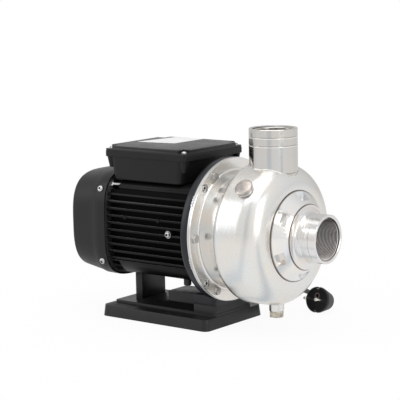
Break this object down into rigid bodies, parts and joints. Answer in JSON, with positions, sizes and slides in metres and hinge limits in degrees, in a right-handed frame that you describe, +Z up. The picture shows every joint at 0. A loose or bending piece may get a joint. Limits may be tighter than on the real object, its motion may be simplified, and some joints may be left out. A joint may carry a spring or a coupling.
{
  "type": "centrifugal pump",
  "caption": "Close-coupled electric centrifugal pump: drawn stainless casing with threaded suction and discharge ports, finned motor, terminal box, foot and mains cord.",
  "frame": {"origin": "on the floor under the middle of the pump, the cord left out", "axes": "+X along the shaft toward the suction port, +Z up, the cord gland on the +Y side"},
  "size_m": [0.407, 0.3932, 0.2871],
  "materials": {
    "stainless_sheet": "satin drawn stainless sheet",
    "stainless_turned": "turned and brushed stainless",
    "polished_steel": "polished",
    "drain_brass": "dull nickel-plated brass",
    "zinc_bolt": "bright zinc",
    "dark_screw": "oiled steel",
    "zinc_sheet": "zinc plated sheet",
    "bearing_steel": "ground and polished",
    "shaft_steel": "turned steel",
    "cast_black": "matte black paint on a casting",
    "frame_black": "matte black paint on cast fins",
    "shield_grey": "bare casting",
    "cover_black": "fine matte",
    "box_black": "fine matte",
    "base_black": "matte",
    "fan_plastic": "matte",
    "rubber_black": "soft matte",
    "core_iron": "stacked laminations",
    "winding_copper": "varnished enamelled copper wire",
    "seal_ceramic": "ground ceramic",
    "seal_carbon": "lapped carbon",
    "block_cream": "moulded",
    "capacitor_white": "smooth",
    "cord_black": "matte rubber sheath",
    "plug_black": "moulded rubber",
    "contact_metal": "nickel plated"
  },
  "bodies": {
    "housing": {"pump_casing": "stainless_sheet", "casing_neck": "stainless_sheet", "front_plate": "stainless_turned", "suction_nozzle": "stainless_turned", "discharge_nozzle": "stainless_turned", "priming_boss": "stainless_sheet", "priming_plug": "polished_steel", "drain_boss": "stainless_sheet", "drain_plug": "drain_brass", "wear_plate": "stainless_sheet", "casing_bolts": "zinc_bolt", "flange_screws": "dark_screw", "casing_o_ring": "rubber_black", "seal_plate": "zinc_sheet", "motor_bracket": "cast_black", "bracket_drip_plug": "rubber_black", "motor_frame": "frame_black", "stator_core": "core_iron", "stator_windings": "winding_copper", "rear_end_shield": "shield_grey", "tie_bolts": "zinc_bolt", "bearing_outer_rings": "bearing_steel", "bearing_balls": "bearing_steel", "seal_seat": "seal_ceramic", "fan_cover": "cover_black", "fan_cover_screws": "zinc_bolt", "ground_screw": "zinc_bolt", "terminal_box": "box_black", "box_gasket": "rubber_black", "box_lid": "box_black", "lid_screws": "zinc_bolt", "terminal_block": "block_cream", "run_capacitor": "capacitor_white", "cable_gland": "box_black", "gland_nut": "box_black", "gland_seal": "rubber_black", "base_foot": "base_black", "motor_post": "base_black", "foot_bolts": "dark_screw", "cord_lead": "cord_black", "cord_coil": "cord_black", "cord_tail": "cord_black", "plug_body": "plug_black", "plug_pins": "contact_metal", "plug_clips": "contact_metal"},
    "rotor": {"rotor_shaft": "shaft_steel", "rotor_core": "core_iron", "bearing_inner_rings": "bearing_steel", "impeller": "stainless_sheet", "impeller_key": "shaft_steel", "impeller_nut": "zinc_bolt", "seal_face": "seal_carbon", "seal_bellows": "rubber_black", "spacer_sleeve": "shaft_steel", "cooling_fan": "fan_plastic"}
  },
  "joints": [
    {"name": "rotor_spin", "type": "hinge", "parent": "housing", "child": "rotor", "pos_m": [0, 0, 0.1378], "axis": [1, 0, 0], "continuous": true}
  ]
}
